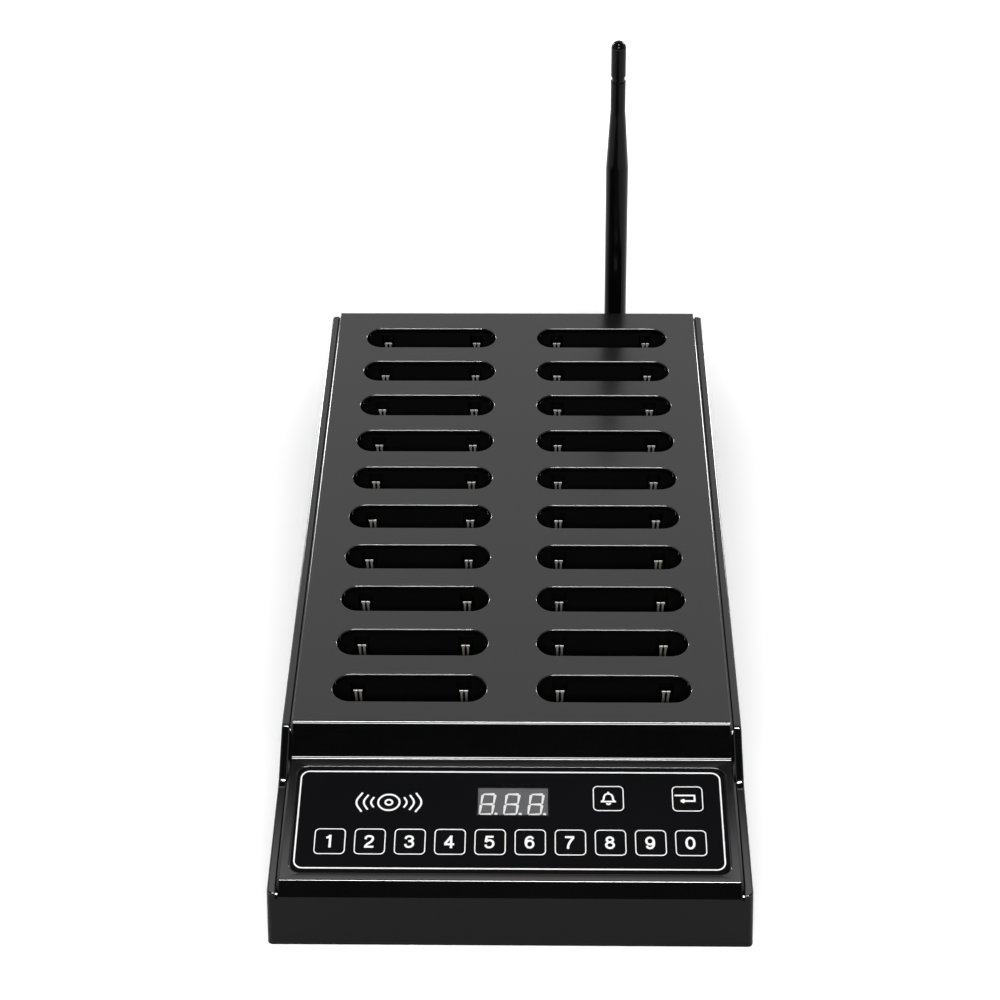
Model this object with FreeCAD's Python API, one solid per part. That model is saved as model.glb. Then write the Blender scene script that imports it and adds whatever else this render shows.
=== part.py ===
import FreeCAD, Part
import math
import os

# Guest pager system: a counter-top charging base with two columns of pager
# pockets, a sloping keypad panel with a three-digit display, and a tilt and
# swivel whip antenna on its rear wall.
# Frame: X across, +Y towards the rear, +Z up, z = 0 under the rubber feet.
# The origin is at the middle of the overall length and width.
# All lengths are millimetres and all angles are degrees.

# Pockets
rows = 10
slot_length = 68.5
slot_width = 16.3
row_pitch = 28.9
column_gap = 22.2          # between the inner ends of the two columns
side_margin = 16.4         # slot end to the edge of the deck
pocket_depth = 46.0
pocket_wall = 1.6
pocket_gap = 0.3           # pocket wider than its slot, each side
flange_thickness = 1.6
flange_side = 3.5
flange_end = 12.0
rack_post_x = 31.0         # posts and pegs, from the middle of a column
post_half = 2.0
peg_half = 2.2
peg_rows = (2, 6)          # the gaps between rows that hold the pegs
post_rows = (0, 5, 8)      # the gaps between rows that hold the posts

# Housing
draft = 2.7
wall = 2.6
deck_thickness = 2.6
step_wall = 1.6            # the step's wall, measured along the case
rim_width = 3.7
groove_width = 0.7
groove_depth = 1.2
foot_height = 1.5
corner_radius = 2.2
front_face_top = 29.5
chamfer_depth = 5.8
chamfer_height = 4.25
panel_run = 62.7
panel_slope = 8.75
step_run = 7.1
step_height = 15.0
deck_slope = 3.0
front_margin = 20.8        # deck front edge to the middle of the first row
rear_margin = 22.6         # middle of the last row to the rear edge
deck_above_rim = 2.2
panel_above_rim = 1.2
rim_slope = 40.0
rim_bend_radius = 12.0
rim_shoulder_radius = 3.6
rim_round = 0.8
deck_edge_round = 0.6
edge_round = 1.8

# Keypad and display, in the plane of the panel
overlay_side_margin = 4.0
overlay_front_margin = 4.2
overlay_rear_margin = 5.2
overlay_thickness = 0.8
overlay_gap = 0.35
overlay_radius = 4.5
overlay_sink = 0.25        # top of the overlay below the panel surface
keys_in_row = 10
key_width = 13.4
key_height = 13.2
key_corner = 0.9           # corner cut off each key pad
key_gap = 0.2
key_end_margin = 9.4       # end key to the end of the overlay
number_row_share = 0.287   # middle of a row, as a share of the overlay's depth
upper_row_share = 0.71
call_column = 7            # number keys that the two function keys stand behind
enter_column = 9
key_travel = 0.4
key_flange = 0.8
key_flange_lip = 0.5
flange_gap = 0.1
bed_gap = 0.4
stem_width = 3.6
stem_length = 2.3
stem_spare = 0.05          # left under a stem at the end of its travel
window_width = 31.2
window_height = 16.6
window_x = 1.0
window_share = 0.69
window_gap = 0.1
display_width = 30.1
display_height = 14.0
display_gap = 0.3
display_side_gap = 0.25
switch_size = 6.0
switch_body_height = 3.5
switch_button_width = 3.2
switch_button_height = 0.8
board_thickness = 1.6
keypad_board_margin = 1.9  # board's end inside the overlay's end
keypad_board_front = 9.0
keypad_board_back = 3.4    # from the rear edge of the panel
panel_rib_inset = 4.0
panel_rib_half = 1.8

# Base plate, feet and fasteners
plate_thickness = 2.6
plate_gap = 0.3
plate_lip_height = 4.0
plate_lip_width = 1.8
foot_radius = 8.0
foot_inset_x = 21.0
foot_inset_y = 20.0
boss_radius = 3.4
boss_inset_x = 8.5
boss_inset_y = 22.0
boss_rows = 3
stand_inset = 4.0
stand_height = 5.5
stand_half = 2.5
touch = 0.02               # gap left where two seated faces are not parallel

# Charging contacts and boards
contact_from_middle = 23.8
contact_split = 2.1
prong_width = 1.0
head_width = 1.7
head_height = 1.1
contact_base = 3.0
strip = 0.35
contact_top = 8.4          # below the deck
contact_reach = 0.9        # how far a contact stands into its pocket
contact_stand = 1.0        # contact's foot behind the pocket
window_top = 4.2
window_low = 22.5
contact_window = 7.0
board_depth = 26.0         # charging board below the deck
board_side = 5.0
board_ends = 13.5
cup_clearance = 0.6

# Electronics in the front bay and at the rear
main_board_width = 150.0
main_board_depth = 42.0
main_board_front = 15.0    # from the front of the case
radio_board_width = 42.0
radio_board_depth = 26.0
radio_board_back = 14.0    # from the rear of the case
socket_width = 8.0
socket_depth = 6.0
socket_height = 5.0
socket_inset = 3.0         # sockets from the rear edge of the main board
charge_x = 30.0
cable_width = 6.0
cable_thickness = 1.2
cable_clearance = 0.6
cable_straight = 6.0
ribbon_x = -8.0
ribbon_width = 20.0
ribbon_thickness = 0.6
ribbon_back = 31.0         # from the front edge of the main board
ribbon_socket = (24.0, 5.0, 3.0)
chip = (-26.0, 18.0, 12.0, 12.0, 1.6)
regulator = (35.0, 12.5, 10.0, 9.0, 4.4)
capacitor_x = 52.0
capacitor_back = 22.0
capacitor_radius = 5.0
capacitor_height = 11.0
shield_side = 7.0
shield_end = 14.0
shield_front = 4.0
shield_back = 9.0
shield_height = 3.2
coax_width = 1.6
coax_bend = 2.5
coax_reach = 5.0

# Rear sockets
jack_x = -58.0
jack_height = 17.0
jack_barrel = 4.0
jack_bore = 2.8
jack_pin = 1.0
jack_depth = 9.0
jack_flange = 5.6
jack_lip = 1.5
jack_nut_height = 1.8
jack_lug_length = 4.0
jack_lug_width = 3.0
jack_lug_half = 2.0
lug_thickness = 0.8
fit_gap = 0.2

# Antenna
antenna_x = 54.6
antenna_height = 30.0
hinge_back = 24.0          # hinge axis behind the rear wall
antenna_lean = 0.72
antenna_length = 191.1     # hinge axis to tip
mast_root = 6.6
mast_radius = 5.95
mast_shoulder = 118.8
neck_start = 152.0
neck_radius = 3.93
cap_start = 168.6
cap_groove = 3.1
cap_groove_radius = 3.35
cap_radius = 3.88
mast_bore = 2.6
radiator_foot = 14.0
radiator_foot_height = 2.0
radiator_radius = 0.8
radiator_end_gap = 6.0
radiator_gap = 0.1
ear_radius = 5.7
ear_outer = 5.6
tongue_half = 2.3
tongue_radius = 5.4
tongue_gap = 0.2
fork_gap = 0.8
pin_radius = 1.5
pin_clearance = 0.05
pin_short = 0.2            # hinge pin's end below the face of an ear
barrel_radius = 5.8
coupling_radius = 5.0
coupling_length = 7.4
coupling_grip = 4.5
thread_radius = 3.17
thread_clearance = 0.08
nut_half = 4.0
nut_height = 2.0
connector_hex = 1.6
connector_tail = 2.0
spigot_radius = 2.8
spigot_length = 4.9
swivel_gap = 0.3

V = FreeCAD.Vector
tan = math.tan
radians = math.radians
over = 1.0                 # cutting tools run this far past a face
near = 0.01                # two measures closer than this are the same
tool_depth = 10.0          # reach of a tool below the face it cuts

# Worked out from the values above
draft_tan = tan(radians(draft))
deck_tan = tan(radians(deck_slope))
panel_tan = tan(radians(panel_slope))
chamfer_tan = chamfer_height / chamfer_depth
bottom = foot_height
panel_front_u = chamfer_depth + (front_face_top - bottom) * draft_tan
panel_front_z = front_face_top + chamfer_height
step_u = panel_front_u + panel_run
step_z = panel_front_z + panel_run * panel_tan
deck_u = step_u + step_run
deck_z = step_z + step_height
row_step = row_pitch * math.cos(radians(deck_slope))
deck_rear_u = deck_u + front_margin + (rows - 1) * row_step + rear_margin
deck_rear_z = deck_z + (deck_rear_u - deck_u) * deck_tan
case_length = deck_rear_u + (deck_rear_z - bottom) * draft_tan
deck_half = column_gap / 2 + slot_length + side_margin
case_half = deck_half + groove_width + rim_width + (deck_z - bottom) * draft_tan
case_top = deck_rear_z + tool_depth
overall_length = case_length + hinge_back + mast_radius
y_front = -overall_length / 2
column_x = column_gap / 2 + slot_length / 2
row_y = [y_front + deck_u + front_margin + k * row_step for k in range(rows)]
plate_top = bottom + plate_thickness
panel_length = panel_run / math.cos(radians(panel_slope))
overlay_bed = overlay_sink + overlay_thickness
overlay_front_s = overlay_front_margin
overlay_rear_s = panel_length - overlay_rear_margin
overlay_depth = overlay_rear_s - overlay_front_s
key_row_s = overlay_front_s + overlay_depth * number_row_share
upper_row_s = overlay_front_s + overlay_depth * upper_row_share
window_s = overlay_front_s + overlay_depth * window_share
overlay_half = (case_half - rim_width - groove_width - overlay_side_margin - overlay_gap
                - (panel_front_z - bottom) * draft_tan)
key_pitch = (2 * (overlay_half - key_end_margin) - key_width) / (keys_in_row - 1)
stem_gap = key_travel + stem_spare
board_n = -(overlay_bed + flange_gap + key_flange + stem_length + stem_gap
            + switch_button_height + switch_body_height)
keypad_board_half = overlay_half - keypad_board_margin
keypad_board_rear = panel_length - keypad_board_back
cup_length = slot_length + 2 * (pocket_gap + pocket_wall)
cup_width = slot_width + 2 * (pocket_gap + pocket_wall)
main_board_y = y_front + main_board_front
main_board_rear = main_board_y + main_board_depth
radio_board_y = y_front + case_length - radio_board_back - radio_board_depth
board_top = plate_top + stand_height + board_thickness
socket_z = board_top + socket_height / 2
hinge_y = y_front + case_length + hinge_back


def deck_height(y):
    """Height of the deck surface at a place along the case."""
    return deck_z + (y - y_front - deck_u) * deck_tan


def wall_u(z):
    """The rear wall's outer face at a height, from the case's front."""
    return case_length - (z - bottom) * draft_tan


def rounded_outline(corners):
    """A closed wire in the YZ plane: corners are (u, z, radius)."""
    points = [V(0, y_front + u, z) for u, z, r in corners]
    ends = []
    edges = []
    for i, (u, z, r) in enumerate(corners):
        here = points[i]
        if r == 0:
            ends.append((here, here))
            continue
        back = (points[i - 1] - here).normalize()
        ahead = (points[(i + 1) % len(points)] - here).normalize()
        half = back.getAngle(ahead) / 2
        reach = r / tan(half)
        middle = (back + ahead).normalize()
        top = here + middle * (r / math.sin(half) - r)
        ends.append((here + back * reach, here + ahead * reach))
        edges.append(Part.Arc(here + back * reach, top, here + ahead * reach).toShape())
    for i, (before, after) in enumerate(ends):
        following = ends[(i + 1) % len(ends)][0]
        edges.append(Part.LineSegment(after, following).toShape())
    return Part.Wire(Part.__sortEdges__(edges))


def side_prism(corners):
    """A side outline carried straight across the case."""
    half = case_half + over
    prism = Part.Face(rounded_outline(corners)).extrude(V(2 * half, 0, 0))
    prism.translate(V(-half, 0, 0))
    return prism


def frustum(low, high):
    """A solid with flat sides between two four-cornered outlines."""
    sides = [[low[i], low[(i + 1) % 4], high[(i + 1) % 4], high[i]] for i in range(4)]
    faces = [Part.Face(Part.makePolygon(ring + [ring[0]])) for ring in sides + [low, high]]
    solid = Part.makeSolid(Part.makeShell(faces))
    if solid.Volume < 0:
        solid.reverse()
    return solid


def drafted_block(inset, z0, z1, radius=0.0):
    """The case's tapering outer form, taken in by an inset."""
    rings = []
    for z in (z0, z1):
        lean = (z - bottom) * draft_tan + inset
        x = case_half - lean
        front = y_front + lean
        rear = y_front + case_length - lean
        rings.append([V(-x, front, z), V(x, front, z), V(x, rear, z), V(-x, rear, z)])
    block = frustum(*rings)
    if radius > 0:
        block = block.makeFillet(radius, [e for e in block.Edges if e.BoundBox.ZLength > near])
    return block


def centre_band(inset):
    """The stretch between the two side rims, taken in from the case's sides."""
    low = bottom - over
    half_low = case_half - inset + over * draft_tan
    half_top = case_half - inset - (case_top - bottom) * draft_tan
    start = y_front - over
    ring = [V(-half_low, start, low), V(half_low, start, low),
            V(half_top, start, case_top), V(-half_top, start, case_top)]
    return Part.Face(Part.makePolygon(ring + [ring[0]])).extrude(V(0, case_length + 2 * over, 0))


def centre_corners(drop=0.0, radius=0.0, back=0.0):
    """Side outline of the middle of the housing, lowered by a drop."""
    end = case_length + over
    low = bottom - 2 * over
    front_z = panel_front_z - (panel_front_u + over) * chamfer_tan
    return [(-over, low, 0),
            (-over, front_z - drop, 0),
            (panel_front_u, panel_front_z - drop, radius),
            (step_u + back, step_z - drop + back * panel_tan, radius),
            (deck_u + back, deck_z - drop + back * deck_tan, radius),
            (end, deck_z - drop + (end - deck_u) * deck_tan, 0),
            (end, low, 0)]


def rim_corners(drop=0.0, rounded=False):
    """Side outline of the side rims, lowered by a drop."""
    deck_line = deck_z - deck_above_rim - drop
    panel_line = panel_front_z - panel_above_rim - drop
    rise = deck_line - panel_line - (deck_u - panel_front_u) * panel_tan
    foot_u = deck_u - rise / (tan(radians(rim_slope)) - panel_tan)
    end = case_length + over
    low = bottom - 2 * over
    return [(-over, low, 0),
            (-over, panel_line - (panel_front_u + over) * panel_tan, 0),
            (foot_u, panel_line + (foot_u - panel_front_u) * panel_tan,
             rim_bend_radius if rounded else 0),
            (deck_u, deck_line, rim_shoulder_radius if rounded else 0),
            (end, deck_line + (end - deck_u) * deck_tan, 0),
            (end, low, 0)]


def cylinder(x, y, z, radius, height):
    return Part.makeCylinder(radius, height, V(x, y, z))


def box(x0, x1, y0, y1, z0, z1):
    return Part.makeBox(x1 - x0, y1 - y0, z1 - z0, V(x0, y0, z0))


def block_at(x, y, half, low, high):
    """An upright square block round a point."""
    return box(x - half, x + half, y - half, y + half, low, high)


def flat_plate(width, height, low, high, radius=0.0, corner=0.0):
    """A flat plate centred on the origin, its corners rounded or cut if asked."""
    plate = box(-width / 2, width / 2, -height / 2, height / 2, low, high)
    upright = [e for e in plate.Edges if e.BoundBox.ZLength > near]
    if radius > 0:
        plate = plate.makeFillet(radius, upright)
    if corner > 0:
        plate = plate.makeChamfer(corner, upright)
    return plate


def stadium(x, y, length, width, low, high):
    """An upright form with straight sides and round ends."""
    r = width / 2
    half = length / 2 - r
    sides = [Part.LineSegment(V(x - half, y - r, low), V(x + half, y - r, low)),
             Part.Arc(V(x + half, y - r, low), V(x + half + r, y, low), V(x + half, y + r, low)),
             Part.LineSegment(V(x + half, y + r, low), V(x - half, y + r, low)),
             Part.Arc(V(x - half, y + r, low), V(x - half - r, y, low), V(x - half, y - r, low))]
    outline = Part.Wire([side.toShape() for side in sides])
    return Part.Face(outline).extrude(V(0, 0, high - low))


def deck_slab(x0, x1, y0, y1, drop, thickness):
    """A plate parallel to the deck, its top a drop below the deck's surface."""
    front = deck_height(y0) - drop
    rear = deck_height(y1) - drop
    ring = [V(x0, y0, front), V(x0, y1, rear), V(x0, y1, rear - thickness),
            V(x0, y0, front - thickness)]
    return Part.Face(Part.makePolygon(ring + [ring[0]])).extrude(V(x1 - x0, 0, 0))


def deck_post(x, y, half, drop, length):
    """A square post cut parallel to the deck at both ends."""
    return deck_slab(x - half, x + half, y - half, y + half, drop, length)


def flat_cable(points, x, width, thickness):
    """A strip of even thickness bent through (y, z) points."""
    spine = [V(x - width / 2, y, z) for y, z in points]
    runs = [(b - a).normalize() for a, b in zip(spine, spine[1:])]
    runs = [runs[0]] + runs + [runs[-1]]
    upper = []
    lower = []
    for point, before, after in zip(spine, runs, runs[1:]):
        mitre = V(1, 0, 0).cross(before + after)
        mitre = mitre * (thickness / mitre.dot(mitre))
        upper.append(point + mitre)
        lower.append(point - mitre)
    ring = upper + lower[::-1]
    return Part.Face(Part.makePolygon(ring + [ring[0]])).extrude(V(width, 0, 0))


def on_panel(shape, x=0.0, s=0.0):
    """Place a shape made flat at the origin on the keypad panel."""
    shape = shape.copy()
    shape.translate(V(x, s, 0))
    shape.rotate(V(0, 0, 0), V(1, 0, 0), panel_slope)
    shape.translate(V(0, y_front + panel_front_u, panel_front_z))
    return shape


def along_y(shape, x, y, z):
    """Turn a shape made along +Z to point to the rear, at a place."""
    shape = shape.copy()
    shape.rotate(V(0, 0, 0), V(1, 0, 0), -90)
    shape.translate(V(x, y, z))
    return shape


def hexagon(half, height, hole=0.0):
    """Six flats, with a round hole if asked, along +Z from the origin."""
    flats = 6
    turn = radians(360 / flats)
    r = half / math.cos(turn / 2)
    corners = [V(r * math.cos(turn * k), r * math.sin(turn * k), 0) for k in range(flats)]
    nut = Part.Face(Part.makePolygon(corners + [corners[0]])).extrude(V(0, 0, height))
    if hole > 0:
        nut = nut.cut(Part.makeCylinder(hole, height))
    return nut


def turned(outline):
    """A body of revolution about Z from (radius, height) corners."""
    ring = [V(r, 0, z) for r, z in outline]
    face = Part.Face(Part.makePolygon(ring + [ring[0]]))
    return face.revolve(V(0, 0, 0), V(0, 0, 1), 360)


def pocket_places():
    return [(side * column_x, y) for side in (-1, 1) for y in row_y]


def gap_y(k):
    """The middle of the space behind a row of pockets."""
    return (row_y[k] + row_y[k + 1]) / 2


def fixings(side, gaps):
    """Places beside a column's pockets, in the gaps between given rows."""
    return [(side * column_x + end * rack_post_x, gap_y(k)) for k in gaps for end in (-1, 1)]


def boss_places():
    """Screw bosses, evenly along both sides."""
    x = case_half - boss_inset_x
    first = y_front + boss_inset_y
    step = (case_length - 2 * boss_inset_y) / (boss_rows - 1)
    return [(side * x, first + k * step) for side in (-1, 1) for k in range(boss_rows)]


def foot_places():
    x = case_half - foot_inset_x
    front = y_front + foot_inset_y
    rear = y_front + case_length - foot_inset_y
    return [(side * x, y) for side in (-1, 1) for y in (front, rear)]


def rib_places():
    """Ribs that carry the keypad board, as x and distance up the panel."""
    x = keypad_board_half - panel_rib_inset
    front = keypad_board_front + panel_rib_inset
    rear = keypad_board_rear - panel_rib_inset
    return [(side * x, s) for side in (-1, 1) for s in (front, rear)]


def key_places():
    """Every key's name with its place in the plane of the panel."""
    middle = (keys_in_row - 1) / 2
    across = [(k - middle) * key_pitch for k in range(keys_in_row)]
    row = [("key_" + str((k + 1) % 10), across[k], key_row_s) for k in range(keys_in_row)]
    return row + [("key_call", across[call_column], upper_row_s),
                  ("key_enter", across[enter_column], upper_row_s)]


def main_stands():
    x = main_board_width / 2 - stand_inset
    return [(side * x, y) for side in (-1, 1)
            for y in (main_board_y + stand_inset, main_board_rear - stand_inset)]


def radio_stands():
    x = radio_board_width / 2 - stand_inset
    rear = radio_board_y + radio_board_depth - stand_inset
    return [(antenna_x + side * x, y) for side in (-1, 1)
            for y in (radio_board_y + stand_inset, rear)]


def round_rim(rim):
    """Round the top edges of one side rim, its two ends included."""
    def on_top(edge):
        heights = [v.Point.z for v in edge.Vertexes]
        long_edge = edge.BoundBox.YLength > over
        level = max(heights) - min(heights) < near
        return min(heights) > front_face_top - chamfer_height and (long_edge or level)

    return rim.makeFillet(rim_round, [e for e in rim.Edges if on_top(e)])


def round_deck(middle):
    """Round the deck's long edges and its rear edge."""
    def on_deck(edge):
        return all(abs(v.Point.z - deck_height(v.Point.y)) < near for v in edge.Vertexes)

    def at_rear(edge):
        return min(v.Point.y for v in edge.Vertexes) > row_y[-1]

    picked = [e for e in middle.Edges
              if on_deck(e) and (e.BoundBox.YLength > over or at_rear(e))]
    return middle.makeFillet(deck_edge_round, picked)


def outer_shape():
    """The housing's outer form: rims, deck, step and panel."""
    envelope = drafted_block(0, bottom, case_top, corner_radius)
    rims = side_prism(rim_corners(0, True)).common(envelope).cut(centre_band(rim_width))
    rims = [round_rim(rim) for rim in rims.Solids]
    middle = side_prism(centre_corners(0, edge_round)).common(envelope)
    middle = round_deck(middle.common(centre_band(rim_width + groove_width)))
    bridge = side_prism(rim_corners(groove_depth)).common(
        side_prism(centre_corners(groove_depth)))
    bridge = bridge.common(envelope).common(centre_band(rim_width))
    return bridge.fuse(rims + [middle]).removeSplitter()


def inner_shape():
    """The housing's hollow, in two stretches: the middle and under the rims."""
    core = drafted_block(wall, bottom - over, case_top)
    middle = side_prism(centre_corners(deck_thickness, 0, step_wall))
    middle = middle.common(centre_band(rim_width + groove_width + wall)).common(core)
    under = groove_depth + wall
    sides = side_prism(rim_corners(under)).common(core)
    sides = sides.common(side_prism(centre_corners(under, 0, step_wall)))
    return [middle, sides]


def housing():
    """The one-piece moulded housing: rims, deck, step, panel and four walls."""
    outer = outer_shape()
    bosses = [cylinder(x, y, plate_top, boss_radius, case_top).common(outer)
              for x, y in boss_places()]
    ribs = [on_panel(flat_plate(2 * panel_rib_half, 2 * panel_rib_half, board_n, -overlay_bed),
                     x, s) for x, s in rib_places()]
    pegs = [deck_post(x, y, peg_half, deck_thickness / 2, deck_thickness / 2 + flange_thickness)
            for side in (-1, 1) for x, y in fixings(side, peg_rows)]
    shell = outer.cut(inner_shape()).fuse(bosses + ribs + pegs)
    holes = [stadium(x, y, slot_length, slot_width, deck_height(y) - tool_depth, case_top)
             for x, y in pocket_places()]
    recess = flat_plate(2 * (overlay_half + overlay_gap), overlay_depth + 2 * overlay_gap,
                        -overlay_bed, over, overlay_radius + overlay_gap)
    holes.append(on_panel(recess, 0, (overlay_front_s + overlay_rear_s) / 2))
    margin = key_flange_lip + bed_gap
    opening = flat_plate(key_width + 2 * margin, key_height + 2 * margin, -tool_depth / 2, over)
    holes += [on_panel(opening, x, s) for name, x, s in key_places()]
    opening = flat_plate(display_width + 2 * display_side_gap,
                         display_height + 2 * display_side_gap, -tool_depth / 2, over)
    holes.append(on_panel(opening, window_x, window_s))
    inside = y_front + case_length - tool_depth
    holes.append(along_y(Part.makeCylinder(jack_barrel + fit_gap, 2 * tool_depth),
                         jack_x, inside, jack_height))
    holes.append(along_y(Part.makeCylinder(thread_radius + fit_gap, 2 * tool_depth),
                         antenna_x, inside, antenna_height))
    return shell.cut(holes)


def base_plate():
    """The flat floor of the case, with its locating lip and standoffs."""
    inset = wall + plate_gap
    lip_top = plate_top + plate_lip_height
    plate = drafted_block(inset, bottom, plate_top)
    lip = drafted_block(inset, bottom, lip_top).cut(
        drafted_block(inset + plate_lip_width, bottom - over, lip_top + over))
    stands = [block_at(x, y, stand_half, bottom, plate_top + stand_height)
              for x, y in main_stands() + radio_stands()]
    return plate.fuse([lip] + stands).removeSplitter()


def rubber_feet():
    return [cylinder(x, y, 0, foot_radius, foot_height) for x, y in foot_places()]


def pocket_rack(side):
    """Ten pockets hung under the deck on one flange."""
    x = side * column_x
    half = slot_length / 2 + flange_side
    front = row_y[0] - flange_end
    rear = row_y[-1] + flange_end
    rack = deck_slab(x - half, x + half, front, rear, deck_thickness, flange_thickness)
    cups = []
    hollows = []
    inner_x = slot_length / 2 + pocket_gap
    inner_y = slot_width / 2 + pocket_gap
    window = contact_window / 2
    for y in row_y:
        floor = deck_height(y) - pocket_depth
        cups.append(box(x - cup_length / 2, x + cup_length / 2, y - cup_width / 2,
                        y + cup_width / 2, floor - pocket_wall, case_top))
        hollows.append(box(x - inner_x, x + inner_x, y - inner_y, y + inner_y, floor, case_top))
        for end in (-1, 1):
            middle = x + end * contact_from_middle
            hollows.append(box(middle - window, middle + window, y + slot_width / 2,
                               y + cup_width / 2 + over, deck_height(y) - window_low,
                               deck_height(y) - window_top))
    under_deck = deck_slab(x - half, x + half, front, rear, deck_thickness, case_top)
    cups = [cup.common(under_deck) for cup in cups]
    seat = deck_thickness + flange_thickness
    posts = [deck_post(px, py, post_half, seat, board_depth - seat)
             for px, py in fixings(side, post_rows)]
    hollows += [block_at(px, py, peg_half + fit_gap, 0, case_top)
                for px, py in fixings(side, peg_rows)]
    return rack.fuse(cups + posts).cut(hollows).removeSplitter()


def charging_board(side):
    """A long board with an opening for each pocket to pass through."""
    x = side * column_x
    half = slot_length / 2 + board_side
    board = deck_slab(x - half, x + half, row_y[0] - board_ends, row_y[-1] + board_ends,
                      board_depth, board_thickness)
    hole_x = cup_length / 2 + cup_clearance
    hole_y = cup_width / 2 + cup_clearance
    return board.cut([box(x - hole_x, x + hole_x, y - hole_y, y + hole_y, 0, case_top)
                      for y in row_y])


def contact(x, y):
    """One stamped contact: two prongs with T heads, leaning into a pocket."""
    head_y = y + slot_width / 2 + pocket_gap - contact_reach
    foot_y = y + cup_width / 2 + contact_stand
    board = deck_height(foot_y) - board_depth
    rise = deck_height(y) - contact_top - board
    height = math.hypot(rise, foot_y - head_y)
    lean = math.degrees(math.atan2(foot_y - head_y, rise))
    base = (contact_split + prong_width) / 2
    inner = (contact_split - prong_width) / 2
    out_head = (contact_split + head_width) / 2
    in_head = (contact_split - head_width) / 2
    neck = height - head_height
    right = [(base, 0), (base, neck), (out_head, neck), (out_head, height), (in_head, height),
             (in_head, neck), (inner, neck), (inner, contact_base)]
    left = [(-across, up) for across, up in reversed(right)]
    ring = [V(across, 0, up) for across, up in right + left]
    blade = Part.Face(Part.makePolygon(ring + [ring[0]])).extrude(V(0, -strip, 0))
    blade.rotate(V(0, 0, 0), V(1, 0, 0), lean)
    blade.translate(V(x, foot_y, board + strip * math.sin(radians(lean)) + touch))
    return blade


def contacts(side):
    return [contact(side * column_x + end * contact_from_middle, y)
            for y in row_y for end in (-1, 1)]


def keypad_overlay():
    """The keypad overlay, with an opening for each key and for the window."""
    low = -overlay_bed
    sheet = flat_plate(2 * overlay_half, overlay_depth, low, -overlay_sink, overlay_radius)
    sheet = on_panel(sheet, 0, (overlay_front_s + overlay_rear_s) / 2)
    opening = flat_plate(key_width + 2 * key_gap, key_height + 2 * key_gap, low, 0, 0,
                         key_corner)
    holes = [on_panel(opening, x, s) for name, x, s in key_places()]
    holes.append(on_panel(flat_plate(window_width, window_height, low, 0), window_x, window_s))
    return sheet.cut(holes)


def key(x, s):
    """A key pad with its retaining flange and the stem that works the switch."""
    shoulder = -overlay_bed - flange_gap
    foot = shoulder - key_flange
    pad = flat_plate(key_width, key_height, shoulder, -overlay_sink, 0, key_corner)
    flange = flat_plate(key_width + 2 * key_flange_lip, key_height + 2 * key_flange_lip,
                        foot, shoulder)
    stem = flat_plate(stem_width, stem_width, foot - stem_length, foot)
    return on_panel(flange.fuse([pad, stem]).removeSplitter(), x, s)


def display_window():
    return on_panel(flat_plate(window_width - 2 * window_gap, window_height - 2 * window_gap,
                               -overlay_bed, -overlay_sink), window_x, window_s)


def display_module():
    return on_panel(flat_plate(display_width, display_height, board_n,
                               -overlay_bed - display_gap), window_x, window_s)


def tactile_switches():
    """A tactile switch under each key."""
    body_top = board_n + switch_body_height
    body = flat_plate(switch_size, switch_size, board_n, body_top)
    button = flat_plate(switch_button_width, switch_button_width, body_top,
                        body_top + switch_button_height)
    switch = body.fuse(button)
    return [on_panel(switch, x, s) for name, x, s in key_places()]


def keypad_board():
    board = flat_plate(2 * keypad_board_half, keypad_board_rear - keypad_board_front,
                       board_n - board_thickness, board_n)
    return on_panel(board, 0, (keypad_board_rear + keypad_board_front) / 2)


def keypad_ribbon():
    """The flat ribbon between the keypad board and the main board."""
    y = main_board_y + ribbon_back
    front = y - ribbon_thickness / 2
    cosine = math.cos(radians(panel_slope))
    top = panel_front_z + (front - y_front - panel_front_u) * panel_tan
    top += (board_n - board_thickness) / cosine - touch
    low = board_top + ribbon_socket[2]
    return box(ribbon_x - ribbon_width / 2, ribbon_x + ribbon_width / 2,
               front, front + ribbon_thickness, low, top)


def main_board():
    half = main_board_width / 2
    return box(-half, half, main_board_y, main_board_rear, board_top - board_thickness,
               board_top)


def part_on_board(x, back, width, depth, height):
    """A block soldered on the main board, placed from the board's front edge."""
    y = main_board_y + back
    return box(x - width / 2, x + width / 2, y - depth / 2, y + depth / 2, board_top,
               board_top + height)


def main_board_parts():
    """Chips, capacitor and sockets soldered on the main board."""
    back = main_board_depth - socket_inset - socket_depth / 2
    sockets = [part_on_board(x, back, socket_width, socket_depth, socket_height)
               for x in (jack_x, -charge_x, charge_x)]
    tank = cylinder(capacitor_x, main_board_y + capacitor_back, board_top, capacitor_radius,
                    capacitor_height)
    chips = [part_on_board(*chip), part_on_board(*regulator)]
    return chips + [part_on_board(ribbon_x, ribbon_back, *ribbon_socket), tank] + sockets


def socket_face():
    return main_board_rear - socket_inset


def charging_lead(side):
    """The flat lead from a main board socket up to a charging board."""
    end_y = row_y[0] - board_ends
    end_z = deck_height(end_y) - board_depth - board_thickness / 2
    route = [(socket_face(), socket_z), (main_board_rear + cable_straight, socket_z),
             (end_y - cable_straight, end_z), (end_y, end_z)]
    return flat_cable(route, side * charge_x, cable_width, cable_thickness)


def power_lead():
    """The flat lead from the inlet, under the pockets, to the main board."""
    start = y_front + wall_u(jack_height) - wall - jack_depth - jack_lug_length
    low = plate_top + cable_clearance + cable_thickness / 2
    drop = socket_z - low
    rise = jack_height - low
    route = [(start, jack_height), (start - cable_straight, jack_height),
             (start - cable_straight - rise, low), (main_board_rear + cable_straight + drop, low),
             (main_board_rear + cable_straight, socket_z), (socket_face(), socket_z)]
    return flat_cable(route, jack_x, cable_width, cable_thickness)


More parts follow.
